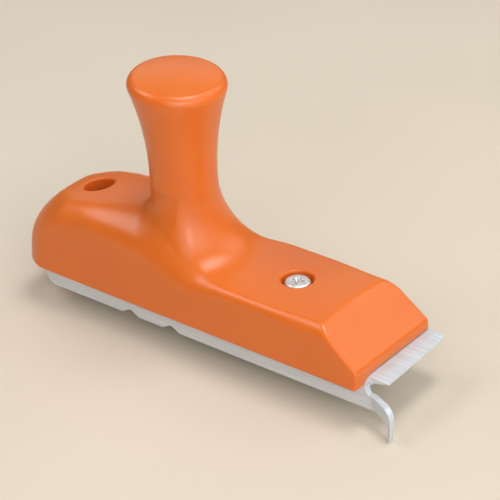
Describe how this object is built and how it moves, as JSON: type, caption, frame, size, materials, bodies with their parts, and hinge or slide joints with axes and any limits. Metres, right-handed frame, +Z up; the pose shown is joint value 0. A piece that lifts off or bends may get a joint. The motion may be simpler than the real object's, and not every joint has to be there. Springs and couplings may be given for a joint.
{
  "type": "hand edge trimmer",
  "caption": "Hand edge trimmer: a low moulded handle with a tall flared knob on a bent steel sole with a ground front edge, side flange and flared finger.",
  "frame": {"origin": "on the underside of the steel sole, on the centre plane of the handle, near the middle of its length", "axes": "+X forwards towards the cutting edge, +Z up through the knob, -Y towards the guide flange"},
  "size_m": [0.1433, 0.0376, 0.0855],
  "materials": {
    "handle_plastic": "satin moulded",
    "blade_steel": "ground",
    "screw_steel": "zinc plated"
  },
  "bodies": {
    "root": {"handle": "handle_plastic", "blade": "blade_steel", "front_screw": "screw_steel", "rear_screw": "screw_steel"}
  },
  "joints": []
}
